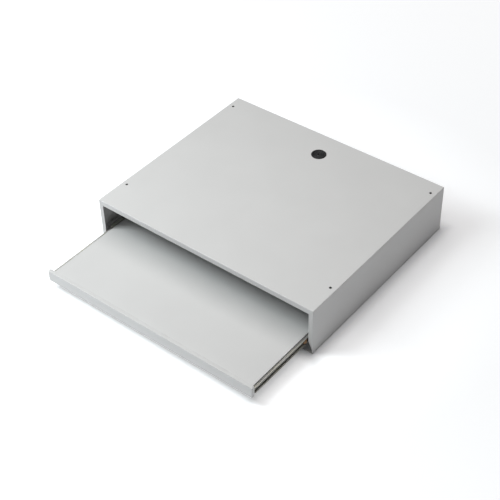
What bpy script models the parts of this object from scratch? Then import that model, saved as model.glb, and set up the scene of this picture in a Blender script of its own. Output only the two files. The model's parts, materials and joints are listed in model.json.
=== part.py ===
"""Under-desk steel housing with a pull-out shelf on ball-bearing runners.

Metres, +Z up. The origin is the centre of the housing's top face, the face
that is screwed up against a desk. X runs across the width and -Y is towards
the user, which is the way the shelf pulls out. Sliding pieces are placed as
they lie with the shelf closed, and hang on empties that carry them out to the
half-open rest position.
"""

import math

import bmesh
import bpy
from mathutils import Vector

# Housing: one folded sheet, open at the front and underneath.
WIDTH = 0.600
DEPTH = 0.505
HEIGHT = 0.124
SHEET = 0.0012
BEND_RADIUS = 0.0014
FRONT_STRIP_TOP = 0.0128
FRONT_STRIP_SIDE = 0.0112
STRIP_FOOT_OUTER = 0.0075
STRIP_FOOT_INNER = 0.0315
REAR_RETURN = 0.014
BOTTOM_FLANGE = 0.028
REAR_PANEL_FLANGE = 0.014
REAR_PANEL_PLAY = 0.001
GAP = 0.0003

# Holes in the top face.
SCREW_HOLE_RADIUS = 0.0033
SCREW_HOLE_INSET = 0.0135
SCREW_HOLE_FROM_FRONT = 0.079
SCREW_HOLE_FROM_BACK = 0.0370
GROMMET_FROM_BACK = 0.071
GROMMET_RADIUS = 0.018
GROMMET_HOLE_RADIUS = 0.0153
GROMMET_LIP = 0.0020
GROMMET_PILOT_RADIUS = 0.0019

# Shelf and its front rail.
SHELF_WIDTH = 0.5587
SHELF_TOP = 0.0417
SHELF_END = 0.470
SHELF_FLANGE = 0.022
SHELF_RETURN = 0.010
STIFFENER_WIDTH = 0.050
STIFFENER_DEPTH = 0.014
STIFFENER_BRIM = 0.015
STIFFENER_END_PLAY = 0.015
RAIL_WIDTH = 0.574
RAIL_DEPTH = 0.009
RAIL_BOTTOM = 0.0220
RAIL_TOP = 0.0492
SHELF_OUT = 0.1865

# Ball-bearing runners, measured outwards from the shelf's side.
RUNNER_HEIGHT_Z = 0.031
RUNNER_START = 0.012
RUNNER_LENGTH = 0.450
RUNNER_THICKNESS = 0.010
RUNNER_SHEET = 0.0010
BALL_RADIUS = 0.00175
BALL_OUT = 0.0038
BALL_UP = 0.0089
BALL_GAP = 0.00025
RETAINER_START = 0.182
RETAINER_LENGTH = 0.110
RETAINER_SHEET = 0.0007
RETAINER_WEB_OUT = 0.00695
BALLS_PER_ROW = 4
POCKET_PLAY = 0.0002
RUNNER_TAIL = 0.006
BUMPER_OVERHANG = 0.0022
BUMPER_LENGTH = 0.009
BUMPER_INNER = 0.0062
BUMPER_HALF_HEIGHT = 0.0045
STOP_LENGTH = 0.0055
STOP_REACH = 0.0072
PAD_START = 0.1785
PAD_LENGTH = 0.008
PAD_REACH = 0.0058
LEVER_LENGTH = 0.036
LEVER_REACH = 0.0050
LEVER_HALF_HEIGHT = 0.0056

# Fasteners.
SCREW_SHANK = 0.0018
SCREW_HEAD = 0.0036
RIVET_SHANK = 0.0016
RIVET_HEAD = 0.0032
RIVET_DOME = 0.0011
HOLE_CLEARANCE = 0.0003
TURNED_STEPS = 12

# Places worked out from the dimensions above.
FRONT_Y = -DEPTH / 2
BACK_Y = DEPTH / 2
FLOOR_Z = -HEIGHT
SHELF_SIDE_X = SHELF_WIDTH / 2
WALL_INSIDE_X = WIDTH / 2 - SHEET
RUNNER_Z = FLOOR_Z + RUNNER_HEIGHT_Z
RUNNER_FRONT_Y = FRONT_Y + RUNNER_START
RUNNER_BACK_Y = RUNNER_FRONT_Y + RUNNER_LENGTH
SIDES = {"left": -1, "right": 1}
TINY = 1e-6

PARTS = bpy.data.collections.new("under_desk_drawer")
CUTTERS = bpy.data.collections.new("cutters")


# ---------------------------------------------------------------- helpers

def clear_scene():
    """Empties the scene and adds the two collections."""
    for old in list(bpy.data.objects):
        bpy.data.objects.remove(old, do_unlink=True)
    bpy.context.scene.collection.children.link(PARTS)
    bpy.context.scene.collection.children.link(CUTTERS)


def make_material(name, colour, roughness, metallic):
    """A Principled material of one colour."""
    material = bpy.data.materials.new(name)
    material.use_nodes = True
    shader = material.node_tree.nodes["Principled BSDF"]
    shader.inputs["Base Color"].default_value = (*colour, 1.0)
    shader.inputs["Roughness"].default_value = roughness
    shader.inputs["Metallic"].default_value = metallic
    return material


def add_part(name, shape, material, location=(0, 0, 0), parent=None):
    """Adds a bmesh or a mesh to the parts as a named object."""
    mesh = shape
    if isinstance(shape, bmesh.types.BMesh):
        mesh = bpy.data.meshes.new(name)
        shape.to_mesh(mesh)
        shape.free()
    if not mesh.materials:
        mesh.materials.append(material)
    part = bpy.data.objects.new(name, mesh)
    part.location = location
    part.parent = parent
    PARTS.objects.link(part)
    return part


def add_empty(name, location):
    """An empty on a joint's axis, which carries a sliding body."""
    empty = bpy.data.objects.new(name, None)
    empty.empty_display_size = 0.03
    empty.location = location
    PARTS.objects.link(empty)
    return empty


def add_cutter(name, cylinders, parent=None):
    """One cutter holding several cylinders, each (centre, axis, radius, length)."""
    bm = bmesh.new()
    for centre, axis, radius, length in cylinders:
        turn = Vector((0, 0, 1)).rotation_difference(Vector(axis)).to_matrix().to_4x4()
        turn.translation = centre
        sides = 40 if radius > 0.01 else 14
        bmesh.ops.create_cone(bm, cap_ends=True, segments=sides, radius1=radius,
                              radius2=radius, depth=length, matrix=turn)
    mesh = bpy.data.meshes.new(name)
    bm.to_mesh(mesh)
    bm.free()
    cutter = bpy.data.objects.new(name, mesh)
    cutter.parent = parent
    cutter.hide_render = True
    cutter.display_type = "WIRE"
    CUTTERS.objects.link(cutter)
    return cutter


def cut(part, cutter):
    """Takes a cutter's shape out of a part."""
    boolean = part.modifiers.new("Cut " + cutter.name, "BOOLEAN")
    boolean.operation = "DIFFERENCE"
    boolean.solver = "EXACT"
    boolean.object = cutter


def bend(part, radius, segments=3):
    """Rounds the folds of an open sheet before it gets its thickness."""
    rounding = part.modifiers.new("Bends", "BEVEL")
    rounding.width = radius
    rounding.segments = segments
    rounding.limit_method = "ANGLE"
    rounding.angle_limit = math.radians(30)


def thicken(part, thickness, offset=-1.0):
    """Gives an open sheet its thickness, inwards unless offset says otherwise."""
    solid = part.modifiers.new("Sheet", "SOLIDIFY")
    solid.thickness = thickness
    solid.offset = offset
    solid.use_even_offset = True


def round_edges(part, radius, segments=2):
    """Rounds the edges of a solid block."""
    rounding = part.modifiers.new("Edges", "BEVEL")
    rounding.width = radius
    rounding.segments = segments
    rounding.limit_method = "ANGLE"


def box_shape(low, high, open_sides=""):
    """A box between two corners, without the faces on the sides named in open_sides."""
    low = Vector(low)
    high = Vector(high)
    bm = bmesh.new()
    bmesh.ops.create_cube(bm, size=1.0)
    bmesh.ops.scale(bm, vec=high - low, verts=bm.verts)
    bmesh.ops.translate(bm, vec=(low + high) / 2, verts=bm.verts)
    directions = {"-x": (-1, 0, 0), "+x": (1, 0, 0), "-y": (0, -1, 0),
                  "+y": (0, 1, 0), "-z": (0, 0, -1), "+z": (0, 0, 1)}
    bm.normal_update()
    opened = [face for face in bm.faces for side in open_sides.split()
              if face.normal.dot(Vector(directions[side])) > 0.9]
    bmesh.ops.delete(bm, geom=opened, context="FACES")
    return bm


def edges_where(bm, test):
    """The edges whose two ends both pass a test."""
    return [edge for edge in bm.edges if all(test(vert.co) for vert in edge.verts)]


def fold(bm, edges, place):
    """Folds a strip off some edges, with each new corner put at place(old corner)."""
    made = bmesh.ops.extrude_edge_only(bm, edges=edges)["geom"]
    for item in made:
        if isinstance(item, bmesh.types.BMVert):
            item.co = place(item.co.copy())


def face_out(bm, outward):
    """Turns an open sheet's faces so that the one furthest along outward faces that way."""
    bmesh.ops.recalc_face_normals(bm, faces=bm.faces)
    bm.normal_update()
    direction = Vector(outward)
    outermost = max(bm.faces, key=lambda face: face.calc_center_median().dot(direction))
    if outermost.normal.dot(direction) < 0:
        bmesh.ops.reverse_faces(bm, faces=bm.faces)


def inwards(value, distance):
    """A coordinate moved towards zero."""
    return value - math.copysign(distance, value)


def smooth(mesh, angle=40):
    """Shades a mesh smooth except across its sharp edges."""
    mesh.shade_smooth()
    mesh.set_sharp_from_angle(angle=math.radians(angle))


def turned_mesh(name, outline, material, steps, closed=False):
    """A mesh turned about Z from (radius, z) points that run down the outer side."""
    bm = bmesh.new()
    points = [bm.verts.new((radius, 0, z)) for radius, z in outline]
    for start, end in zip(points, points[1:]):
        bm.edges.new((start, end))
    if closed:
        bm.edges.new((points[-1], points[0]))
    profile_mesh = bpy.data.meshes.new(name + "_profile")
    bm.to_mesh(profile_mesh)
    bm.free()
    profile = bpy.data.objects.new(name + "_profile", profile_mesh)
    bpy.context.scene.collection.objects.link(profile)
    turning = profile.modifiers.new("Turn", "SCREW")
    turning.steps = steps
    turning.render_steps = steps
    turning.use_merge_vertices = True
    turning.merge_threshold = 0.00001
    evaluated = profile.evaluated_get(bpy.context.evaluated_depsgraph_get())
    mesh = bpy.data.meshes.new_from_object(evaluated)
    mesh.name = name
    bpy.data.objects.remove(profile, do_unlink=True)
    bpy.data.meshes.remove(profile_mesh)
    mesh.materials.clear()
    mesh.materials.append(material)
    smooth(mesh)
    return mesh


def pointing(part, axis):
    """Turns a part made along +Z so that it points along axis."""
    part.rotation_euler = Vector((0, 0, 1)).rotation_difference(Vector(axis)).to_euler()


# ---------------------------------------------------------------- housing

def add_case_shell(paint):
    """The folded sheet: top, two sides, front and rear returns, bottom flanges."""
    bm = box_shape((-WIDTH / 2, FRONT_Y, FLOOR_Z), (WIDTH / 2, BACK_Y, 0), "-y +y -z")
    foot_z = FLOOR_Z + STRIP_FOOT_OUTER
    everything = bm.verts[:] + bm.edges[:] + bm.faces[:]
    bmesh.ops.bisect_plane(bm, geom=everything, plane_co=(0, 0, foot_z), plane_no=(0, 0, 1))

    def front_corner(corner):
        at_top = corner.z > -TINY
        z = -FRONT_STRIP_TOP if at_top else FLOOR_Z + STRIP_FOOT_INNER
        return Vector((inwards(corner.x, FRONT_STRIP_SIDE), corner.y, z))

    def rear_corner(corner):
        at_top = corner.z > -TINY
        z = -REAR_RETURN if at_top else foot_z + REAR_RETURN
        return Vector((inwards(corner.x, REAR_RETURN), corner.y, z))

    def flange_corner(corner):
        return Vector((inwards(corner.x, BOTTOM_FLANGE), corner.y, corner.z))

    above_foot = foot_z - TINY
    front = edges_where(bm, lambda co: co.y < FRONT_Y + TINY and co.z > above_foot)
    rear = edges_where(bm, lambda co: co.y > BACK_Y - TINY and co.z > above_foot)
    bottom = edges_where(bm, lambda co: co.z < FLOOR_Z + TINY)
    fold(bm, front, front_corner)
    fold(bm, rear, rear_corner)
    fold(bm, bottom, flange_corner)
    face_out(bm, (0, 0, 1))
    shell = add_part("case_shell", bm, paint)
    bend(shell, BEND_RADIUS)
    thicken(shell, SHEET)

    through = 4 * SHEET
    hole_x = WIDTH / 2 - SCREW_HOLE_INSET
    hole_rows = (FRONT_Y + SCREW_HOLE_FROM_FRONT, BACK_Y - SCREW_HOLE_FROM_BACK)
    holes = [((side * hole_x, y, -SHEET / 2), (0, 0, 1), SCREW_HOLE_RADIUS, through)
             for side in SIDES.values() for y in hole_rows]
    grommet_y = BACK_Y - GROMMET_FROM_BACK
    holes.append(((0, grommet_y, -SHEET / 2), (0, 0, 1), GROMMET_HOLE_RADIUS, through))
    cut(shell, add_cutter("top_holes", holes))
    cut(shell, add_cutter("rear_rivet_holes_shell", rear_rivet_holes()))


def rear_rivet_places():
    """Where the rivets sit on the rear returns, two up each side."""
    x = WIDTH / 2 - REAR_RETURN / 2
    return [(side * x, z) for side in SIDES.values() for z in (FLOOR_Z + 0.045, -0.035)]


def rear_rivet_holes():
    """The holes for those rivets, through the return and the panel."""
    radius = RIVET_SHANK + HOLE_CLEARANCE
    return [((x, BACK_Y - 2 * SHEET, z), (0, 1, 0), radius, 0.010)
            for x, z in rear_rivet_places()]


def add_rear_panel(paint, rivet_steel):
    """The back of the housing, inside the rear returns, and its four rivets."""
    outside_y = BACK_Y - SHEET - GAP
    half_width = WALL_INSIDE_X - REAR_PANEL_PLAY
    low = (-half_width, outside_y - REAR_PANEL_FLANGE, FLOOR_Z + SHEET + GAP)
    high = (half_width, outside_y, -SHEET - REAR_PANEL_PLAY)
    bm = box_shape(low, high, "-x +x +z -y")
    face_out(bm, (0, 1, 0))
    panel = add_part("rear_panel", bm, paint)
    bend(panel, BEND_RADIUS)
    thicken(panel, SHEET)
    cut(panel, add_cutter("rear_rivet_holes_panel", rear_rivet_holes()))
    rivet = rivet_mesh("rear_rivet", 2 * SHEET + GAP, rivet_steel)
    for number, (x, z) in enumerate(rear_rivet_places(), start=1):
        part = add_part(f"rear_rivet_{number}", rivet, rivet_steel, (x, BACK_Y + GAP, z))
        pointing(part, (0, 1, 0))


def rivet_mesh(name, grip, steel):
    """A blind rivet along Z: domed head above z = 0, set end below the grip."""
    shank_end = -(grip + 2 * GAP)
    edge = RIVET_DOME / 4
    quarter = [math.pi / 2 * step / 4 for step in range(5)]
    dome = [(RIVET_HEAD * math.sin(angle), edge + (RIVET_DOME - edge) * math.cos(angle))
            for angle in quarter]
    outline = dome + [
        (RIVET_HEAD, 0.0),
        (RIVET_SHANK, 0.0),
        (RIVET_SHANK, shank_end),
        (RIVET_SHANK * 1.45, shank_end),
        (RIVET_SHANK * 1.35, shank_end - 0.0014),
        (0.0, shank_end - 0.0018),
    ]
    return turned_mesh(name, outline, steel, TURNED_STEPS)


def add_cable_grommet(rubber):
    """The rubber grommet in the top: two lips, a groove and a ringed membrane with a pilot hole."""
    rim = GROMMET_RADIUS
    groove = GROMMET_HOLE_RADIUS - GAP
    under = -SHEET - GAP
    pilot = GROMMET_PILOT_RADIUS
    outside = [
        (rim - 0.0014, GROMMET_LIP),
        (rim - 0.0004, GROMMET_LIP - 0.0004),
        (rim, GROMMET_LIP - 0.0012),
        (rim, GAP),
        (groove, GAP),
        (groove, under),
        (rim - 0.0010, under),
        (rim - 0.0016, under - 0.0016),
        (rim - 0.0030, under - 0.0024),
    ]
    underneath = [
        (0.0120, under - 0.0024),
        (0.0116, -0.0012),
        (pilot + 0.0010, -0.0006),
        (pilot, 0.0000),
    ]
    rings_on_top = [
        (pilot, 0.0008),
        (pilot + 0.0009, 0.0014),
        (0.0052, 0.0010),
        (0.0064, 0.0001),
        (0.0086, 0.0001),
        (0.0094, 0.0008),
        (0.0126, 0.0008),
        (0.0132, GROMMET_LIP - 0.0004),
        (0.0140, GROMMET_LIP),
    ]
    section = outside + underneath + rings_on_top
    ring = turned_mesh("cable_grommet", section, rubber, 40, closed=True)
    add_part("cable_grommet", ring, rubber, (0, BACK_Y - GROMMET_FROM_BACK, 0))


# ---------------------------------------------------------------- runners

def runner_x(side, outwards):
    """The X of a point that lies outwards from the shelf's side on the left or the right."""
    return side * (SHELF_SIDE_X + GAP + outwards)


def arc(start_degrees, end_degrees, radius, count=6):
    """Points on an arc round the upper ball, as (outwards, up)."""
    step = (end_degrees - start_degrees) / count
    angles = [math.radians(start_degrees + step * number) for number in range(count + 1)]
    return [(BALL_OUT + radius * math.cos(angle), BALL_UP + radius * math.sin(angle))
            for angle in angles]


def mirrored(half):
    """A whole section from its upper half, top to bottom."""
    return half + [(outwards, -up) for outwards, up in reversed(half)]


def rolled_sheet(name, section, side, start_y, length, thickness, steel, parent=None):
    """A long rolled member: an open section pushed along Y and given its thickness."""
    bm = bmesh.new()
    points = [bm.verts.new((runner_x(side, outwards), start_y, RUNNER_Z + up))
              for outwards, up in section]
    edges = [bm.edges.new(pair) for pair in zip(points, points[1:])]
    pushed = bmesh.ops.extrude_edge_only(bm, edges=edges)["geom"]
    far_end = [item for item in pushed if isinstance(item, bmesh.types.BMVert)]
    bmesh.ops.translate(bm, vec=(0, length, 0), verts=far_end)
    member = add_part(name, bm, steel, parent=parent)
    thicken(member, thickness, offset=0.0)
    return member


def raceway_radius():
    """The radius of a raceway's mid-surface round a ball."""
    return BALL_RADIUS + BALL_GAP + RUNNER_SHEET / 2


def outer_section():
    """The outer member: a web on the bracket and a raceway outside each ball row."""
    web = RUNNER_THICKNESS - RUNNER_SHEET / 2
    raceway = arc(155, 35, raceway_radius())
    shoulder_up = raceway[-1][1]
    bend_size = 0.0012
    return mirrored(raceway + [(web - bend_size, shoulder_up),
                               (web - bend_size * 0.3, shoulder_up - bend_size * 0.3),
                               (web, shoulder_up - bend_size)])


def inner_section():
    """The inner member: a web on the shelf and a raceway inside each ball row."""
    web = RUNNER_SHEET / 2
    raceway = arc(320, 215, raceway_radius())
    root_out, root_up = raceway[-1]
    return mirrored(raceway + [(root_out - 0.0008, root_up - 0.0001),
                               (web, root_up - 0.0014)])


def retainer_section():
    """The ball cage: a web with a flange across each row of balls."""
    web = RETAINER_WEB_OUT
    return mirrored([(0.0012, BALL_UP), (web - 0.0006, BALL_UP), (web, BALL_UP - 0.0006)])


def bracket_section_box(side):
    """The corners of the spacer channel between the outer member and the wall."""
    near = SHELF_SIDE_X + GAP + RUNNER_THICKNESS + GAP
    far = WALL_INSIDE_X - GAP
    half_height = BALL_UP + raceway_radius() + RUNNER_SHEET / 2
    start = RUNNER_FRONT_Y + 0.002
    end = RUNNER_BACK_Y + 0.002
    low = (min(side * near, side * far), start, RUNNER_Z - half_height)
    high = (max(side * near, side * far), end, RUNNER_Z + half_height)
    return low, high


def screw_rows():
    """Where the runner screws sit along Y, with the shelf closed."""
    return [RUNNER_FRONT_Y + RUNNER_LENGTH * share for share in (0.08, 0.50, 0.90)]


def screw_holes(side, radius):
    """Cylinders across the runner at each screw, from the pan's side to the wall channel."""
    return [((runner_x(side, 0.0), y, RUNNER_Z), (1, 0, 0), radius, 0.050)
            for y in screw_rows()]


def screw_mesh(name, shank_length, steel):
    """A pan-head screw along Z: head above z = 0 with a round socket, shank below."""
    outline = [
        (0.0, 0.0004),
        (0.0013, 0.0004),
        (0.0015, 0.0009),
        (SCREW_HEAD * 0.72, 0.0009),
        (SCREW_HEAD, 0.0004),
        (SCREW_HEAD, 0.0),
        (SCREW_SHANK, 0.0),
        (SCREW_SHANK, -shank_length + 0.0008),
        (SCREW_SHANK * 0.5, -shank_length),
        (0.0, -shank_length),
    ]
    return turned_mesh(name, outline, steel, TURNED_STEPS)


def add_bracket(label, side, paint):
    """The spacer channel welded to the wall, which brings the runner out to the shelf."""
    low, high = bracket_section_box(side)
    wall_side = "+x" if side > 0 else "-x"
    bm = box_shape(low, high, wall_side + " -y +y")
    face_out(bm, (-side, 0, 0))
    bracket = add_part(f"runner_bracket_{label}", bm, paint)
    bend(bracket, BEND_RADIUS, segments=2)
    thicken(bracket, SHEET)
    return bracket


def add_outer_member(label, side, zinc, rubber):
    """The fixed member with its front and rear rubber bumpers."""
    outer = rolled_sheet(f"runner_outer_{label}", outer_section(), side, RUNNER_FRONT_Y,
                         RUNNER_LENGTH + RUNNER_TAIL, RUNNER_SHEET, zinc)
    web_inside = RUNNER_THICKNESS - RUNNER_SHEET - GAP
    front_start = RUNNER_FRONT_Y - BUMPER_OVERHANG
    front_span = (front_start, front_start + BUMPER_LENGTH)
    rear_span = (RUNNER_BACK_Y + GAP, RUNNER_BACK_Y + STOP_LENGTH)
    add_block(f"front_bumper_{label}", side, (BUMPER_INNER, web_inside), front_span, rubber)
    add_block(f"rear_bumper_{label}", side, (RUNNER_SHEET + GAP, web_inside), rear_span, rubber)
    return outer


def add_block(name, side, outwards, span, material, parent=None,
              half_height=BUMPER_HALF_HEIGHT):
    """A moulded block inside a runner, between two distances out and two places along Y."""
    near = runner_x(side, outwards[0])
    far = runner_x(side, outwards[1])
    low = (min(near, far), span[0], RUNNER_Z - half_height)
    high = (max(near, far), span[1], RUNNER_Z + half_height)
    block = add_part(name, box_shape(low, high), material, parent=parent)
    round_edges(block, 0.0006)


def add_fixed_runner_screws(label, side, zinc, bracket, outer):
    """Three screws that hold the outer member to its channel."""
    radius = SCREW_SHANK + HOLE_CLEARANCE
    cutter = add_cutter(f"outer_screw_holes_{label}", screw_holes(side, radius))
    cut(bracket, cutter)
    cut(outer, cutter)
    mesh = screw_mesh(f"outer_screw_{label}", 0.0055, zinc)
    head_seat = runner_x(side, RUNNER_THICKNESS - RUNNER_SHEET - GAP)
    for number, y in enumerate(screw_rows(), start=1):
        part = add_part(f"outer_screw_{label}_{number}", mesh, zinc, (head_seat, y, RUNNER_Z))
        pointing(part, (-side, 0, 0))


def add_inner_member(label, side, zinc, plastic, rubber, pan, carrier):
    """The moving member on the shelf's side, its screws, rear stop, release lever and pad."""
    inner = rolled_sheet(f"runner_inner_{label}", inner_section(), side,
                         RUNNER_FRONT_Y, RUNNER_LENGTH, RUNNER_SHEET, zinc, carrier)
    radius = SCREW_SHANK + HOLE_CLEARANCE
    cutter = add_cutter(f"inner_screw_holes_{label}", screw_holes(side, radius), carrier)
    cut(inner, cutter)
    cut(pan, cutter)
    mesh = screw_mesh(f"inner_screw_{label}", 0.0060, zinc)
    head_seat = runner_x(side, RUNNER_SHEET + GAP)
    for number, y in enumerate(screw_rows(), start=1):
        name = f"inner_screw_{label}_{number}"
        part = add_part(name, mesh, zinc, (head_seat, y, RUNNER_Z), carrier)
        pointing(part, (side, 0, 0))
    web_out = RUNNER_SHEET + GAP
    span = (RUNNER_BACK_Y - STOP_LENGTH, RUNNER_BACK_Y)
    add_block(f"runner_stop_{label}", side, (web_out, STOP_REACH), span, plastic, carrier)
    pad_start = FRONT_Y + PAD_START
    pad_span = (pad_start, pad_start + PAD_LENGTH)
    add_block(f"detent_pad_{label}", side, (web_out, PAD_REACH), pad_span, plastic, carrier,
              LEVER_HALF_HEIGHT)
    lever_start = pad_span[1] + GAP
    lever_span = (lever_start, lever_start + LEVER_LENGTH)
    add_block(f"release_lever_{label}", side, (web_out, LEVER_REACH), lever_span, rubber,
              carrier, LEVER_HALF_HEIGHT)


def add_ball_retainer(label, side, cage_steel, ball_steel, ball_mesh, carrier):
    """The ball cage between the members, with two rows of balls."""
    start = FRONT_Y + RETAINER_START
    cage = rolled_sheet(f"ball_retainer_{label}", retainer_section(), side,
                        start, RETAINER_LENGTH, RETAINER_SHEET, cage_steel, carrier)
    pitch = RETAINER_LENGTH / BALLS_PER_ROW
    rows_y = [start + pitch * (number + 0.5) for number in range(BALLS_PER_ROW)]
    ball_x = runner_x(side, BALL_OUT)
    radius = BALL_RADIUS + POCKET_PLAY
    length = 2 * BALL_UP + 4 * BALL_RADIUS
    pockets = [((ball_x, y, RUNNER_Z), (0, 0, 1), radius, length) for y in rows_y]
    cut(cage, add_cutter(f"ball_pockets_{label}", pockets, carrier))
    places = [(y, up) for up in (BALL_UP, -BALL_UP) for y in rows_y]
    for number, (y, up) in enumerate(places, start=1):
        add_part(f"ball_{label}_{number}", ball_mesh, ball_steel,
                 (ball_x, y, RUNNER_Z + up), carrier)


def make_ball_mesh(steel):
    """One steel ball, shared by all of them."""
    bm = bmesh.new()
    bmesh.ops.create_uvsphere(bm, u_segments=10, v_segments=7, radius=BALL_RADIUS)
    mesh = bpy.data.meshes.new("ball")
    bm.to_mesh(mesh)
    bm.free()
    mesh.materials.append(steel)
    smooth(mesh)
    return mesh


# ---------------------------------------------------------------- shelf

def rail_rivet_places():
    """Where the rivets join the shelf's front flange to the rail, along X."""
    return [-0.200, 0.0, 0.200]


def rail_rivet_holes():
    """The holes for those rivets."""
    y = FRONT_Y + RAIL_DEPTH
    radius = RIVET_SHANK + HOLE_CLEARANCE
    return [((x, y, RUNNER_Z), (0, 1, 0), radius, 0.007) for x in rail_rivet_places()]


def add_shelf_pan(paint, carrier):
    """The flat steel shelf, folded down all round with a narrow return."""
    top = FLOOR_Z + SHELF_TOP
    low = (-SHELF_SIDE_X, FRONT_Y + RAIL_DEPTH + GAP, top - SHELF_FLANGE)
    high = (SHELF_SIDE_X, FRONT_Y + SHELF_END, top)
    bm = box_shape(low, high, "-z")
    middle_y = (low[1] + high[1]) / 2

    def return_corner(corner):
        inward_y = middle_y + inwards(corner.y - middle_y, SHELF_RETURN)
        return Vector((inwards(corner.x, SHELF_RETURN), inward_y, corner.z))

    fold(bm, edges_where(bm, lambda co: co.z < low[2] + TINY), return_corner)
    face_out(bm, (0, 0, 1))
    pan = add_part("shelf_pan", bm, paint, parent=carrier)
    bend(pan, BEND_RADIUS)
    thicken(pan, SHEET)
    return pan


def add_shelf_stiffener(paint, carrier):
    """A hat channel across the underside of the shelf."""
    underside = FLOOR_Z + SHELF_TOP - SHEET - GAP
    half_length = SHELF_SIDE_X - STIFFENER_END_PLAY
    middle_y = FRONT_Y + SHELF_END / 2
    half_channel = STIFFENER_WIDTH / 2 - STIFFENER_BRIM
    low = (-half_length, middle_y - half_channel, underside - STIFFENER_DEPTH)
    brim_z = underside - SHEET
    high = (half_length, middle_y + half_channel, brim_z)
    bm = box_shape(low, high, "-x +x +z")

    def brim_corner(corner):
        outward_y = corner.y + math.copysign(STIFFENER_BRIM, corner.y - middle_y)
        return Vector((corner.x, outward_y, corner.z))

    fold(bm, edges_where(bm, lambda co: co.z > brim_z - TINY), brim_corner)
    face_out(bm, (0, 0, -1))
    stiffener = add_part("shelf_stiffener", bm, paint, parent=carrier)
    bend(stiffener, BEND_RADIUS, segments=2)
    thicken(stiffener, SHEET)


def add_front_rail(paint, rivet_steel, carrier, pan):
    """The full-width rail at the shelf's front, a channel with closed ends, and its rivets."""
    low = (-RAIL_WIDTH / 2, FRONT_Y, FLOOR_Z + RAIL_BOTTOM)
    high = (RAIL_WIDTH / 2, FRONT_Y + RAIL_DEPTH, FLOOR_Z + RAIL_TOP)
    bm = box_shape(low, high, "-z")
    face_out(bm, (0, 0, 1))
    rail = add_part("front_rail", bm, paint, parent=carrier)
    bend(rail, BEND_RADIUS)
    thicken(rail, SHEET)
    cutter = add_cutter("rail_rivet_holes", rail_rivet_holes(), carrier)
    cut(rail, cutter)
    cut(pan, cutter)
    mesh = rivet_mesh("rail_rivet", 2 * SHEET + GAP, rivet_steel)
    head_seat = FRONT_Y + RAIL_DEPTH + GAP + SHEET + GAP
    for number, x in enumerate(rail_rivet_places(), start=1):
        place = (x, head_seat, RUNNER_Z)
        part = add_part(f"rail_rivet_{number}", mesh, rivet_steel, place, carrier)
        pointing(part, (0, 1, 0))


# ---------------------------------------------------------------- assembly

def main():
    """Builds the housing, then what slides in it."""
    clear_scene()
    paint = make_material("grey powder coat", (0.62, 0.62, 0.63), 0.55, 0.0)
    zinc = make_material("zinc-plated steel", (0.60, 0.60, 0.60), 0.35, 1.0)
    bright = make_material("polished steel", (0.75, 0.75, 0.76), 0.15, 1.0)
    rubber = make_material("black rubber", (0.035, 0.035, 0.037), 0.70, 0.0)
    amber = make_material("amber plastic", (0.45, 0.20, 0.06), 0.45, 0.0)

    add_case_shell(paint)
    add_rear_panel(paint, bright)
    add_cable_grommet(rubber)

    shelf_slide = add_empty("shelf_slide", (0, -SHELF_OUT, 0))
    pan = add_shelf_pan(paint, shelf_slide)
    add_shelf_stiffener(paint, shelf_slide)
    add_front_rail(paint, bright, shelf_slide, pan)

    ball = make_ball_mesh(bright)
    for label, side in SIDES.items():
        bracket = add_bracket(label, side, paint)
        outer = add_outer_member(label, side, zinc, rubber)
        add_fixed_runner_screws(label, side, zinc, bracket, outer)
        add_inner_member(label, side, zinc, amber, rubber, pan, shelf_slide)
        retainer_slide = add_empty(f"retainer_slide_{label}", (0, -SHELF_OUT / 2, 0))
        add_ball_retainer(label, side, zinc, bright, ball, retainer_slide)


main()
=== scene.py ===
import json
import math

import bmesh
import bpy
from mathutils import Matrix, Vector


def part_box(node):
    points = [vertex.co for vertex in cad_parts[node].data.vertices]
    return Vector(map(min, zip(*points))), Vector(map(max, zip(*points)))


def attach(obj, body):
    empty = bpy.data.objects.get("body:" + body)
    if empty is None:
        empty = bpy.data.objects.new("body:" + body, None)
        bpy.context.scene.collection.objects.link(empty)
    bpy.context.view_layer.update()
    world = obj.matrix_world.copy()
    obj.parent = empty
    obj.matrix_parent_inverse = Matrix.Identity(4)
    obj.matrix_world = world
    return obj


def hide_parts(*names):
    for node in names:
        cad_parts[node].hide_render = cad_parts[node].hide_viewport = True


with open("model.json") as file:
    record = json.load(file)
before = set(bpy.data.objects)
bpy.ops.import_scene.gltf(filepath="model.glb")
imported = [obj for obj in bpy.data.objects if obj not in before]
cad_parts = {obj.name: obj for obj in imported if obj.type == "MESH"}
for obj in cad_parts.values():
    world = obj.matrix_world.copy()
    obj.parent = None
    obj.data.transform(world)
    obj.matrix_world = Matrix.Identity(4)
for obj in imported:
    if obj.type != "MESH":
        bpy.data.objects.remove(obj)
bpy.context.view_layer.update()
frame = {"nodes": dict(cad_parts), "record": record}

# The looks of a powder-coated under-desk housing with its pull-out shelf. Metres,
# the CAD's own frame: the origin is the middle of the housing's top face, and -Y
# is towards the user.

NODES = frame["nodes"]
SIDES = {"left": -1, "right": 1}
SLOTS = {part["node"]: part["material_slot"] for part in frame["record"]["subparts"]}

# Camera: where it looks from, as a turn round the object.
VIEW_AZIMUTH = math.radians(39.45)
VIEW_ELEVATION = math.radians(41.58)
VIEW_ROLL = math.radians(-1.66)
VIEW_DISTANCE = 2.6175
VIEW_TARGET = Vector((0.0365, -0.1277, -0.0618))
VIEW_LENS = 84.75
SENSOR = 36.0

# Finishes.
POWDER = (0.56, 0.56, 0.557)
ZINC = (0.48, 0.48, 0.47)
ZINC_TINT = (0.45, 0.44, 0.37)
ZINC_METALLIC = 0.55
BRIGHT = (0.72, 0.72, 0.73)
RUBBER = (0.013, 0.0135, 0.0145)
RUBBER_DUST = (0.06, 0.06, 0.06)
AMBER = (0.30, 0.17, 0.085)
COATED_EDGE = 0.00025
BARE_EDGE = 0.00012

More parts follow.
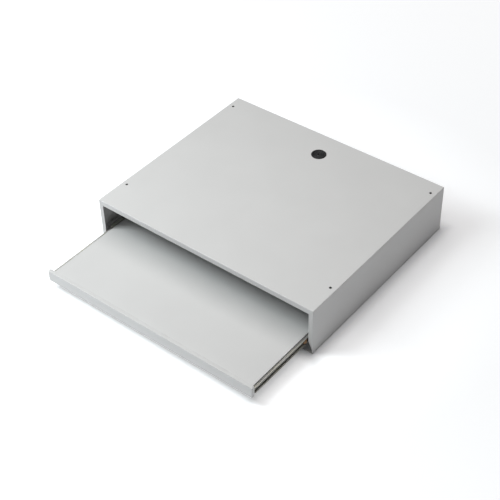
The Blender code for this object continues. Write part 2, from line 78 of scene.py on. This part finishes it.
# The studio floor's glow, which keeps the background near white. The glow is painted light. There is
# none under the housing. It is stronger in the patch where the shelf's shadow falls, so that shadow
# is washed out. It rises further out.
FLOOR = (0.885, 0.90, 0.92)
FLOOR_GLOW = 0.20
GLOW_EDGE = 0.03
# painted light: the stronger floor glow in the patch where the shelf's shadow falls
PAINTED_SHADOW_FILL_GLOW = 0.33
SHADOW_LOW = (-0.30, -0.52)
SHADOW_HIGH = (0.33, -0.25)
SHADOW_EDGE = 0.15
FAR_GLOW = 0.62
FAR_START = 0.64
FAR_END = 2.6
SURROUND_GLOW = 0.88
KEY_TINT = (0.945, 1.0, 1.01)
OVERHEAD_TINT = (1.03, 1.0, 0.985)


# ---------------------------------------------------------------- materials

class Nodes:
    """A material's node tree, with short ways to add and link nodes."""

    def __init__(self, name):
        self.material = bpy.data.materials.new(name)
        self.material.use_nodes = True
        self.tree = self.material.node_tree
        self.shader = self.tree.nodes["Principled BSDF"]
        self.column = 0

    def add(self, kind, **settings):
        node = self.tree.nodes.new(kind)
        self.column -= 1
        node.location = (self.column * 180, 0)
        for key, value in settings.items():
            setattr(node, key, value)
        return node

    def link(self, source, target):
        self.tree.links.new(source, target)

    def set(self, **values):
        """Sets the shader's own sockets: base_color=... is the Base Color socket."""
        for key, value in values.items():
            socket = self.shader.inputs[key.replace("_", " ").title().replace("Ior", "IOR")]
            socket.default_value = (*value, 1.0) if isinstance(value, tuple) else value

    def position(self, stretch=(1, 1, 1)):
        """The point on the surface in metres, stretched along an axis if asked."""
        coordinates = self.add("ShaderNodeTexCoord").outputs["Object"]
        mapping = self.add("ShaderNodeMapping")
        mapping.inputs["Scale"].default_value = stretch
        self.link(coordinates, mapping.inputs["Vector"])
        return mapping.outputs["Vector"]

    def noise(self, where, size, detail=2.0, roughness=0.5):
        """Smooth noise whose lumps are about size metres across."""
        node = self.add("ShaderNodeTexNoise")
        node.inputs["Scale"].default_value = 1.0 / size
        node.inputs["Detail"].default_value = detail
        node.inputs["Roughness"].default_value = roughness
        self.link(where, node.inputs["Vector"])
        return node.outputs["Fac"]

    def spread(self, value, low, high, start=0.3, end=0.7):
        """A value mapped from start..end to low..high."""
        node = self.add("ShaderNodeMapRange")
        node.inputs["From Min"].default_value = start
        node.inputs["From Max"].default_value = end
        node.inputs["To Min"].default_value = low
        node.inputs["To Max"].default_value = high
        self.link(value, node.inputs["Value"])
        return node.outputs["Result"]

    def blend(self, factor, first, second):
        """A mix of two colours, each a tuple or a socket."""
        node = self.add("ShaderNodeMix", data_type="RGBA")
        self.link(factor, node.inputs["Factor"])
        for socket, colour in ((node.inputs["A"], first), (node.inputs["B"], second)):
            if isinstance(colour, tuple):
                socket.default_value = (*colour, 1.0)
            else:
                self.link(colour, socket)
        return node.outputs["Result"]

    def bump(self, height, depth, strength=1.0, under=None):
        """A bump of about depth metres from a 0 to 1 height."""
        node = self.add("ShaderNodeBump")
        node.inputs["Strength"].default_value = strength
        node.inputs["Distance"].default_value = depth
        self.link(height, node.inputs["Height"])
        if under is not None:
            self.link(under, node.inputs["Normal"])
        return node.outputs["Normal"]

    def drive(self, socket, source):
        self.link(source, self.shader.inputs[socket])


def shade(colour, share):
    """A colour made lighter or darker."""
    return tuple(channel * share for channel in colour)


def powder_coat_material():
    """Light grey powder coat: fine orange peel, a faint fleck, sheet that is not dead flat."""
    nodes = Nodes("powder_coat_finish")
    nodes.set(base_color=POWDER, metallic=0.0)
    nodes.shader.inputs["Specular IOR Level"].default_value = 0.45
    where = nodes.position()
    cloud = nodes.noise(where, 0.11, detail=2.0)
    fleck = nodes.noise(where, 0.0009, detail=3.0, roughness=0.7)
    tone = nodes.blend(nodes.spread(cloud, 0.0, 1.0), shade(POWDER, 0.985), shade(POWDER, 1.012))
    flecked = nodes.blend(nodes.spread(fleck, 0.0, 0.10, 0.60, 0.78), tone, shade(POWDER, 0.80))
    nodes.drive("Base Color", flecked)
    nodes.drive("Roughness", nodes.spread(fleck, 0.46, 0.56))
    peel = nodes.noise(where, 0.0016, detail=2.0, roughness=0.6)
    waviness = nodes.noise(where, 0.16, detail=1.0)
    flatness = nodes.bump(waviness, 0.0006, 0.6)
    nodes.drive("Normal", nodes.bump(peel, 0.00005, 0.55, under=flatness))
    return nodes.material


def zinc_material():
    """Rolled zinc-plated steel, dull: rolling marks along Y and a faint passivated tint."""
    nodes = Nodes("zinc_finish")
    nodes.set(base_color=ZINC, metallic=ZINC_METALLIC)
    along = nodes.position((1.0, 0.02, 1.0))
    where = nodes.position()
    streak = nodes.noise(along, 0.0006, detail=4.0, roughness=0.65)
    tint = nodes.noise(where, 0.02, detail=3.0)
    base = nodes.blend(nodes.spread(tint, 0.0, 1.0), shade(ZINC, 0.93), ZINC_TINT)
    colour = nodes.blend(nodes.spread(streak, 0.0, 0.35), base, shade(ZINC, 0.72))
    nodes.drive("Base Color", colour)
    nodes.drive("Roughness", nodes.spread(streak, 0.40, 0.58))
    nodes.drive("Normal", nodes.bump(streak, 0.00003, 0.5))
    return nodes.material


def bright_steel_material():
    """Bright steel of rivets and balls, lightly scuffed."""
    nodes = Nodes("bright_steel_finish")
    nodes.set(base_color=BRIGHT, metallic=1.0)
    where = nodes.position()
    scuff = nodes.noise(where, 0.0007, detail=4.0, roughness=0.7)
    nodes.drive("Base Color", nodes.blend(nodes.spread(scuff, 0.0, 0.5), BRIGHT, shade(BRIGHT, 0.85)))
    nodes.drive("Roughness", nodes.spread(scuff, 0.12, 0.26))
    nodes.drive("Normal", nodes.bump(scuff, 0.00001, 0.4))
    return nodes.material


def rubber_material():
    """Matt black moulded rubber with a fine grain and a little dust."""
    nodes = Nodes("rubber_finish")
    nodes.set(base_color=RUBBER, metallic=0.0)
    nodes.shader.inputs["Specular IOR Level"].default_value = 0.35
    where = nodes.position()
    grain = nodes.noise(where, 0.0004, detail=3.0, roughness=0.7)
    dust = nodes.noise(where, 0.004, detail=4.0, roughness=0.6)
    nodes.drive("Base Color", nodes.blend(nodes.spread(dust, 0.0, 0.25, 0.5, 0.8), RUBBER,
                                          RUBBER_DUST))
    nodes.drive("Roughness", nodes.spread(grain, 0.55, 0.75))
    nodes.drive("Normal", nodes.bump(grain, 0.00003, 0.6))
    return nodes.material


def amber_material():
    """Amber-brown moulded plastic of the runner stops, a little translucent."""
    nodes = Nodes("amber_plastic_finish")
    nodes.set(base_color=AMBER, metallic=0.0)
    nodes.shader.inputs["Subsurface Weight"].default_value = 0.15
    nodes.shader.inputs["Subsurface Radius"].default_value = (0.002, 0.001, 0.0005)
    where = nodes.position()
    cloud = nodes.noise(where, 0.003, detail=2.0)
    grain = nodes.noise(where, 0.0003, detail=2.0)
    nodes.drive("Base Color", nodes.blend(nodes.spread(cloud, 0.0, 1.0), shade(AMBER, 0.88),
                                          shade(AMBER, 1.1)))
    nodes.drive("Roughness", nodes.spread(grain, 0.36, 0.50))
    nodes.drive("Normal", nodes.bump(grain, 0.00002, 0.5))
    return nodes.material


def outside_box(nodes, where, low, high, edge):
    """0 inside a rectangle of the floor and 1 beyond edge metres outside it."""
    apart = nodes.add("ShaderNodeSeparateXYZ")
    nodes.link(where, apart.inputs["Vector"])
    beyond = []
    for axis, start, end in zip("XY", low, high):
        offset = nodes.add("ShaderNodeMath", operation="SUBTRACT")
        offset.inputs[1].default_value = (start + end) / 2
        nodes.link(apart.outputs[axis], offset.inputs[0])
        distance = nodes.add("ShaderNodeMath", operation="ABSOLUTE")
        nodes.link(offset.outputs[0], distance.inputs[0])
        half = (end - start) / 2
        beyond.append(nodes.spread(distance.outputs[0], 0.0, 1.0, half, half + edge))
    either = nodes.add("ShaderNodeMath", operation="MAXIMUM")
    nodes.link(beyond[0], either.inputs[0])
    nodes.link(beyond[1], either.inputs[1])
    return either.outputs[0]


def floor_material():
    """The studio's plain pale floor: it glows a little, except where the housing stands; the glow is
    painted light, stronger where the shelf's shadow falls to wash that shadow out.
    """
    nodes = Nodes("studio_floor_finish")
    nodes.set(base_color=FLOOR, roughness=0.9, emission_color=(1.0, 1.0, 1.0))
    nodes.shader.inputs["Specular IOR Level"].default_value = 0.1
    where = nodes.position()
    low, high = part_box("case_shell")
    clear = outside_box(nodes, where, low.xy, high.xy, GLOW_EDGE)
    shadow = outside_box(nodes, where, SHADOW_LOW, SHADOW_HIGH, SHADOW_EDGE)
    near = nodes.add("ShaderNodeMath", operation="MULTIPLY")
    nodes.link(clear, near.inputs[0])
    # painted light: the floor glows more inside the shadow patch, washing out the shelf's shadow
    nodes.link(nodes.spread(shadow, PAINTED_SHADOW_FILL_GLOW, FLOOR_GLOW, 0.0, 1.0), near.inputs[1])
    reach = nodes.add("ShaderNodeVectorMath", operation="LENGTH")
    nodes.link(where, reach.inputs[0])
    far = nodes.spread(reach.outputs["Value"], 0.0, FAR_GLOW, FAR_START, FAR_END)
    total = nodes.add("ShaderNodeMath", operation="ADD")
    nodes.link(near.outputs[0], total.inputs[0])
    nodes.link(far, total.inputs[1])
    nodes.drive("Emission Strength", total.outputs[0])
    return nodes.material


def surround_material():
    """The pale paper round the studio floor."""
    nodes = Nodes("studio_surround_finish")
    nodes.set(base_color=(0.0, 0.0, 0.0), roughness=1.0, emission_color=(1.0, 1.0, 1.0),
              emission_strength=SURROUND_GLOW)
    nodes.shader.inputs["Specular IOR Level"].default_value = 0.0
    return nodes.material


# ---------------------------------------------------------------- CAD nodes

def dress(node, material, edge=0.0):
    """Gives a CAD node its finish: joined-up faces, softened cut edges and smooth bends."""
    mesh = node.data
    if "custom_normal" in mesh.attributes:
        mesh.attributes.remove(mesh.attributes["custom_normal"])
    mesh.polygons.foreach_set("use_smooth", [True] * len(mesh.polygons))
    weld = node.modifiers.new("Weld", "WELD")
    weld.merge_threshold = 0.000002
    if edge:
        flat = node.modifiers.new("Flat faces", "DECIMATE")
        flat.decimate_type = "DISSOLVE"
        flat.angle_limit = math.radians(0.3)
        soften = node.modifiers.new("Softened edges", "BEVEL")
        soften.width = edge
        soften.segments = 2
        soften.limit_method = "ANGLE"
        soften.angle_limit = math.radians(50)
    weigh = node.modifiers.new("Shading", "WEIGHTED_NORMAL")
    weigh.mode = "FACE_AREA"
    weigh.weight = 100
    node.material_slots[0].material = material


def dress_all(finishes):
    """Dresses every CAD node by its material slot in the record."""
    for name, node in NODES.items():
        slot = SLOTS[name]
        edge = COATED_EDGE if slot == "powder_coat" else BARE_EDGE
        dress(node, finishes[slot], edge)


# ---------------------------------------------------------------- finer pieces

def piece_from(name, bm, node, body, finish, bevel=0.0, smooth=True):
    """Adds a mesh piece that stands for a CAD node and rides on its body."""
    mesh = bpy.data.meshes.new(name)
    bm.to_mesh(mesh)
    bm.free()
    return place_piece(name, mesh, Matrix(), node, body, finish, bevel, smooth)


def place_piece(name, mesh, place, node, body, finish, bevel=0.0, smooth=True):
    """Places a mesh as the piece that stands for a CAD node."""
    slot = SLOTS[node]
    if not mesh.materials:
        mesh.materials.append(finish[slot])
        mesh.polygons.foreach_set("use_smooth", [smooth] * len(mesh.polygons))
    piece = bpy.data.objects.new(name, mesh)
    piece.matrix_world = place
    bpy.context.scene.collection.objects.link(piece)
    if bevel:
        soften = piece.modifiers.new("Moulded edges", "BEVEL")
        soften.width = bevel
        soften.segments = 3
        soften.limit_method = "ANGLE"
        soften.angle_limit = math.radians(35)
        weigh = piece.modifiers.new("Shading", "WEIGHTED_NORMAL")
        weigh.weight = 100
    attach(piece, body)
    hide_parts(node)
    return piece


def turned(outline, steps, closed=False):
    """A bmesh turned about Z from (radius, z) points; points on the axis close it."""
    bm = bmesh.new()
    rings = []
    for radius, z in outline:
        if radius < 1e-7:
            rings.append([bm.verts.new((0, 0, z))])
            continue
        angles = [2 * math.pi * step / steps for step in range(steps)]
        rings.append([bm.verts.new((radius * math.cos(a), radius * math.sin(a), z))
                      for a in angles])
    pairs = list(zip(rings, rings[1:]))
    if closed:
        pairs.append((rings[-1], rings[0]))
    for upper, lower in pairs:
        for step in range(steps):
            after = (step + 1) % steps
            if len(upper) == 1:
                bm.faces.new((upper[0], lower[step], lower[after]))
            elif len(lower) == 1:
                bm.faces.new((upper[step], lower[0], upper[after]))
            else:
                bm.faces.new((upper[step], lower[step], lower[after], upper[after]))
    bmesh.ops.recalc_face_normals(bm, faces=bm.faces)
    return bm


def rounded_path(points, radius, steps=4):
    """A 2-D outline with its corners rounded; the ends stay where they are."""
    path = [Vector(points[0])]
    for before, corner, after in zip(points, points[1:], points[2:]):
        corner = Vector(corner)
        to_before = Vector(before) - corner
        to_after = Vector(after) - corner
        reach = min(radius, to_before.length * 0.45, to_after.length * 0.45)
        start = corner + to_before.normalized() * reach
        end = corner + to_after.normalized() * reach
        for step in range(steps + 1):
            share = step / steps
            path.append((1 - share) ** 2 * start + 2 * share * (1 - share) * corner
                        + share ** 2 * end)
    path.append(Vector(points[-1]))
    return [tuple(point) for point in path]


def add_grommet(finish):
    """The rubber grommet: rolled rim, a fine ring, a thin membrane and a raised centre."""
    low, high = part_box("cable_grommet")
    rim = (high.x - low.x) / 2
    hole = rim * 0.845
    lip = high.z
    under = low.z
    top = [(0.0019, 0.0008), (0.0023, 0.0016), (0.0043, 0.0016), (0.0054, 0.0012),
           (0.0062, 0.0002), (0.0088, 0.0002), (0.0093, 0.0010), (0.0103, 0.0013),
           (0.0113, 0.0010), (0.0118, 0.0003), (0.0131, 0.0003), (0.0137, lip - 0.0003),
           (0.0147, lip), (rim - 0.0007, lip - 0.0002), (rim, lip - 0.0010), (rim, 0.0003)]
    below = [(hole, 0.0003), (hole, -0.0015), (rim - 0.0010, -0.0015),
             (rim - 0.0016, -0.0030), (rim - 0.0030, under), (0.0120, under),
             (0.0116, -0.0012), (0.0030, -0.0006), (0.0019, 0.0000)]
    outline = rounded_path(top + below, 0.0006)
    place = Matrix.Translation(((low.x + high.x) / 2, (low.y + high.y) / 2, 0))
    bm = turned(outline, 96, closed=True)
    mesh = bpy.data.meshes.new("grommet_rubber")
    bm.to_mesh(mesh)
    bm.free()
    place_piece("grommet_rubber", mesh, place, "cable_grommet", "housing", finish)


def cross_recess(depth, reach, width):
    """A cross-shaped cutter that points down from z = 0, tapered like a driver's tip."""
    bm = bmesh.new()
    for turn in (0.0, math.pi / 2):
        made = bmesh.ops.create_cube(bm, size=1.0)["verts"]
        for vert in made:
            taper = 0.45 if vert.co.z < 0 else 1.0
            across = vert.co.y * width * (0.7 if vert.co.z < 0 else 1.0)
            vert.co = Vector((vert.co.x * 2 * reach * taper, across,
                              -depth if vert.co.z < 0 else depth))
        bmesh.ops.rotate(bm, verts=made, cent=(0, 0, 0),
                         matrix=Matrix.Rotation(turn, 3, "Z"))
    return bm


def screw_shape(name, length, radius, head):
    """A pan-head screw with a cross recess; its head's top is at z = 0."""
    shank = radius * 0.5
    outline = rounded_path([(0.0, 0.0), (radius * 0.62, 0.0), (radius * 0.96, -head * 0.45),
                            (radius, -head), (shank, -head), (shank, -length + 0.0008),
                            (shank * 0.5, -length), (0.0, -length)], 0.0006)
    bm = turned(outline, 40)
    mesh = bpy.data.meshes.new(name + "_blank")
    bm.to_mesh(mesh)
    bm.free()
    blank = bpy.data.objects.new(name + "_blank", mesh)
    cutter_mesh = bpy.data.meshes.new(name + "_recess")
    cutter_bm = cross_recess(head * 0.8, radius * 0.55, radius * 0.24)
    cutter_bm.to_mesh(cutter_mesh)
    cutter_bm.free()
    cutter = bpy.data.objects.new(name + "_recess", cutter_mesh)
    for helper in (blank, cutter):
        bpy.context.scene.collection.objects.link(helper)
    cut = blank.modifiers.new("Recess", "BOOLEAN")
    cut.operation = "DIFFERENCE"
    cut.object = cutter
    cut.use_self = True  # the cutter's two arms cross each other
    graph = bpy.context.evaluated_depsgraph_get()
    shape = bpy.data.meshes.new_from_object(blank.evaluated_get(graph))
    shape.name = name
    for helper in (blank, cutter):
        bpy.data.objects.remove(helper, do_unlink=True)
    shape.shade_smooth()
    shape.set_sharp_from_angle(angle=math.radians(35))
    return shape


def rivet_shape(name, length, radius):
    """A blind rivet: low dome with the broken mandrel's pit; its top is at z = 0."""
    shank = radius * 0.5
    outline = rounded_path([(0.0, -radius * 0.16), (radius * 0.20, -radius * 0.16),
                            (radius * 0.26, 0.0), (radius * 0.55, -radius * 0.03),
                            (radius * 0.90, -radius * 0.16), (radius, -radius * 0.34),
                            (shank, -radius * 0.34), (shank, -length * 0.65),
                            (shank * 1.35, -length * 0.9), (0.0, -length)], 0.0004)
    bm = turned(outline, 40)
    mesh = bpy.data.meshes.new(name)
    bm.to_mesh(mesh)
    bm.free()
    mesh.shade_smooth()
    mesh.set_sharp_from_angle(angle=math.radians(40))
    return mesh


def add_turned_fastener(node, mesh, axis, body, finish):
    """Puts a fastener where its CAD node is, with its head's top towards axis."""
    low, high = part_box(node)
    direction = Vector(axis)
    top = (low + high) / 2
    for index in range(3):
        if direction[index]:
            top[index] = high[index] if direction[index] > 0 else low[index]
    place = Vector((0, 0, 1)).rotation_difference(direction).to_matrix().to_4x4()
    place.translation = top
    mesh.materials.clear()
    mesh.materials.append(finish[SLOTS[node]])
    place_piece(node + "_detail", mesh, place, node, body, finish)


def extent(node, axis):
    """How long a node is along X, Y or Z."""
    low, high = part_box(node)
    return high[axis] - low[axis]


def add_fasteners(finish):
    """Screws with cross recesses and blind rivets in place of the CAD's faceted ones."""
    rivet_radius = extent("rear_rivet_1", 0) / 2
    for kind, count, body in (("rear_rivet", 4, "housing"), ("rail_rivet", 3, "shelf")):
        shape = rivet_shape(kind + "_shape", extent(kind + "_1", 1), rivet_radius)
        for number in range(1, count + 1):
            add_turned_fastener(f"{kind}_{number}", shape, (0, 1, 0), body, finish)
    screw_radius = extent("outer_screw_left_1", 1) / 2
    for kind, inward, body in (("outer_screw", -1, "housing"), ("inner_screw", 1, "shelf")):
        length = extent(kind + "_left_1", 0)
        shape = screw_shape(kind + "_shape", length, screw_radius, 0.0009)
        for label, side in SIDES.items():
            for number in (1, 2, 3):
                node = f"{kind}_{label}_{number}"
                add_turned_fastener(node, shape, (inward * side, 0, 0), body, finish)


def add_moulded(node, outline, body, finish, bevel=0.0004):
    """A moulded piece: an outline in shares of the node's Y and Z box, through its X."""
    low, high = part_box(node)
    bm = bmesh.new()
    corners = [(low.y + share_y * (high.y - low.y), low.z + share_z * (high.z - low.z))
               for share_y, share_z in outline]
    near = [bm.verts.new((low.x, y, z)) for y, z in corners]
    bottom = bm.faces.new(near)
    pushed = bmesh.ops.extrude_face_region(bm, geom=[bottom])["geom"]
    far = [item for item in pushed if isinstance(item, bmesh.types.BMVert)]
    bmesh.ops.translate(bm, vec=(high.x - low.x, 0, 0), verts=far)
    bmesh.ops.recalc_face_normals(bm, faces=bm.faces)
    piece_from(node + "_moulding", bm, node, body, finish, bevel)


def mirrored_outline(half):
    """A whole outline from its lower half, (share of Y, share of Z below the middle)."""
    return half + [(y, 1.0 - z) for y, z in reversed(half)]


def add_mouldings(finish):
    """Bumpers, stops, pads and levers of the runners."""
    bumper = mirrored_outline([(0.0, 0.22), (0.12, 0.0), (0.40, 0.0), (0.46, 0.16),
                               (0.54, 0.16), (0.60, 0.0), (0.88, 0.0), (1.0, 0.22)])
    stop = mirrored_outline([(0.0, 0.30), (0.25, 0.0), (1.0, 0.0), (1.0, 0.34), (0.72, 0.42)])
    pad = mirrored_outline([(0.0, 0.26), (0.16, 0.05), (0.34, 0.0), (0.50, 0.10),
                            (0.66, 0.0), (1.0, 0.0)])
    lever = [(0.0, 0.04), (0.16, 0.0), (0.24, 0.22), (0.70, 0.30), (0.80, 0.14), (0.92, 0.14),
             (1.0, 0.32), (1.0, 0.68), (0.92, 0.86), (0.80, 0.86), (0.70, 0.70), (0.24, 0.78),
             (0.16, 1.0), (0.0, 0.96)]
    for label in SIDES:
        add_moulded(f"front_bumper_{label}", bumper, "housing", finish)
        add_moulded(f"rear_bumper_{label}", bumper, "housing", finish)
        add_moulded(f"runner_stop_{label}", stop, "shelf", finish)
        add_moulded(f"detent_pad_{label}", pad, "shelf", finish)
        add_moulded(f"release_lever_{label}", lever, "shelf", finish)


# ---------------------------------------------------------------- studio

def add_floor():
    """A plain pale floor under the housing."""
    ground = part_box("case_shell")[0].z
    bm = bmesh.new()
    bmesh.ops.create_grid(bm, x_segments=1, y_segments=1, size=9.0)
    mesh = bpy.data.meshes.new("studio_floor")
    bm.to_mesh(mesh)
    bm.free()
    floor = bpy.data.objects.new("studio_floor", mesh)
    floor.location.z = ground - 0.0002
    mesh.materials.append(floor_material())
    bpy.context.scene.collection.objects.link(floor)


def add_surround():
    """A pale dome far behind everything, seen by the camera and lighting nothing."""
    bm = bmesh.new()
    bmesh.ops.create_uvsphere(bm, u_segments=64, v_segments=32, radius=9.0)
    bmesh.ops.reverse_faces(bm, faces=bm.faces)
    mesh = bpy.data.meshes.new("studio_surround")
    bm.to_mesh(mesh)
    bm.free()
    mesh.shade_smooth()
    dome = bpy.data.objects.new("studio_surround", mesh)
    dome.visible_diffuse = False
    dome.visible_glossy = False
    dome.visible_transmission = False
    dome.visible_volume_scatter = False
    dome.visible_shadow = False
    mesh.materials.append(surround_material())
    bpy.context.scene.collection.objects.link(dome)


def add_softbox(name, place, target, size, power, colour=(1.0, 1.0, 1.0)):
    """A square area light that looks at a point."""
    data = bpy.data.lights.new(name, "AREA")
    data.shape = "RECTANGLE"
    data.size, data.size_y = size
    data.energy = power
    data.color = colour
    light = bpy.data.objects.new(name, data)
    light.location = place
    light.rotation_euler = (Vector(target) - Vector(place)).to_track_quat("-Z", "Y").to_euler()
    bpy.context.scene.collection.objects.link(light)


def add_lights():
    """Soft studio light: two keys from the front left and a wide overhead."""
    middle = (0.0, -0.05, -0.05)
    add_softbox("low_key_light", (-1.15, -1.05, 1.10), middle, (0.5, 0.5), 11.6, KEY_TINT)
    add_softbox("high_key_light", (-0.80, -0.95, 1.50), middle, (0.8, 0.8), 16.2, KEY_TINT)
    add_softbox("overhead_light", (0.0, 0.1, 2.3), middle, (2.4, 2.4), 46.2, OVERHEAD_TINT)
    world = bpy.data.worlds.new("studio_surround")
    world.use_nodes = True
    background = world.node_tree.nodes["Background"]
    background.inputs["Color"].default_value = (1.0, 1.0, 1.0, 1.0)
    background.inputs["Strength"].default_value = 0.0
    bpy.context.scene.world = world
    bpy.context.scene.view_settings.view_transform = "Standard"


def add_camera():
    """The camera at the photograph's angle, a long lens from the front right and above."""
    back = Vector((math.sin(VIEW_AZIMUTH) * math.cos(VIEW_ELEVATION),
                   -math.cos(VIEW_AZIMUTH) * math.cos(VIEW_ELEVATION),
                   math.sin(VIEW_ELEVATION)))
    level_right = (-back).cross(Vector((0, 0, 1))).normalized()
    level_up = level_right.cross(-back)
    right = math.cos(VIEW_ROLL) * level_right + math.sin(VIEW_ROLL) * level_up
    up = math.cos(VIEW_ROLL) * level_up - math.sin(VIEW_ROLL) * level_right
    turn = Matrix((right, up, back)).transposed().to_4x4()
    turn.translation = VIEW_TARGET + back * VIEW_DISTANCE
    data = bpy.data.cameras.new("camera")
    data.sensor_width = SENSOR
    data.lens = VIEW_LENS
    data.clip_start = 0.05
    data.clip_end = 50.0
    camera = bpy.data.objects.new("camera", data)
    camera.matrix_world = turn
    bpy.context.scene.collection.objects.link(camera)
    bpy.context.scene.camera = camera


# ---------------------------------------------------------------- the scene

add_camera()
FINISHES = {
    "powder_coat": powder_coat_material(),
    "zinc_steel": zinc_material(),
    "polished_steel": bright_steel_material(),
    "black_rubber": rubber_material(),
    "amber_plastic": amber_material(),
}
dress_all(FINISHES)
add_grommet(FINISHES)
add_fasteners(FINISHES)
add_mouldings(FINISHES)
add_floor()
add_surround()
add_lights()
